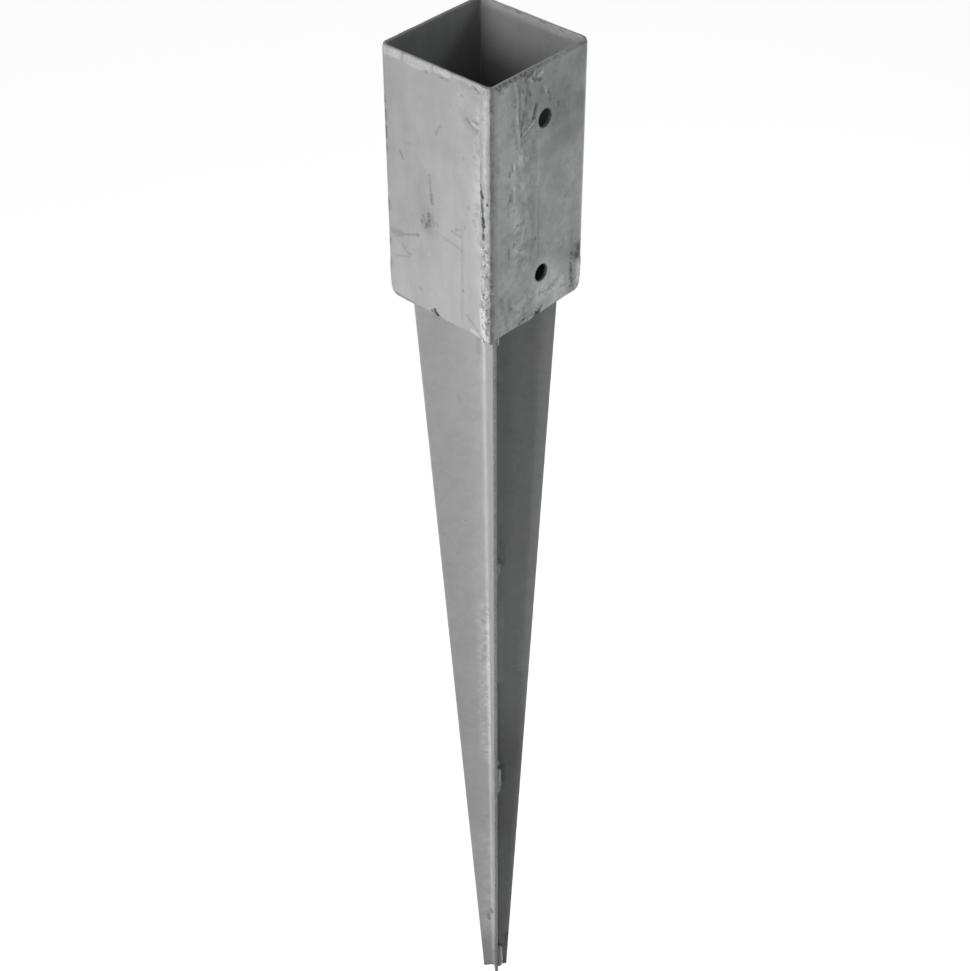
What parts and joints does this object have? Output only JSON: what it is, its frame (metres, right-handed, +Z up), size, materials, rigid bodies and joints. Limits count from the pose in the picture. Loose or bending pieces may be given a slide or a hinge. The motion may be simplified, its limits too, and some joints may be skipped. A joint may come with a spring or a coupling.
{
  "type": "post spike",
  "caption": "Drive-in ground spike for a timber post: square galvanised sleeve with bolt holes on a tapered cross-shaped steel spike.",
  "frame": {"origin": "on the spike's axis in the underside of the sleeve's base, at ground level", "axes": "+Z up along the axis, out of the sleeve's mouth; X and Y square to the sleeve's walls; the bolt holes run along Y"},
  "size_m": [0.0764, 0.0764, 0.7501],
  "materials": {
    "sleeve_zinc": "hot-dip galvanised sheet, dull grey with runs and streaks",
    "blade_zinc": "hot-dip galvanised sheet, smooth dull grey",
    "weld_zinc": "galvanised weld bead, rough and brighter"
  },
  "bodies": {
    "root": {"sleeve": "sleeve_zinc", "blade_left": "blade_zinc", "blade_right": "blade_zinc", "seam_weld": "weld_zinc", "corner_weld_left": "weld_zinc", "corner_weld_right": "weld_zinc", "corner_weld_back": "weld_zinc", "base_weld_front": "weld_zinc", "base_weld_left": "weld_zinc", "base_weld_back": "weld_zinc", "base_weld_right": "weld_zinc", "ridge_tack_front_1": "weld_zinc", "ridge_tack_front_2": "weld_zinc", "ridge_tack_front_3": "weld_zinc", "ridge_tack_front_4": "weld_zinc", "ridge_tack_back_1": "weld_zinc", "ridge_tack_back_2": "weld_zinc", "ridge_tack_back_3": "weld_zinc", "ridge_tack_back_4": "weld_zinc"}
  },
  "joints": []
}
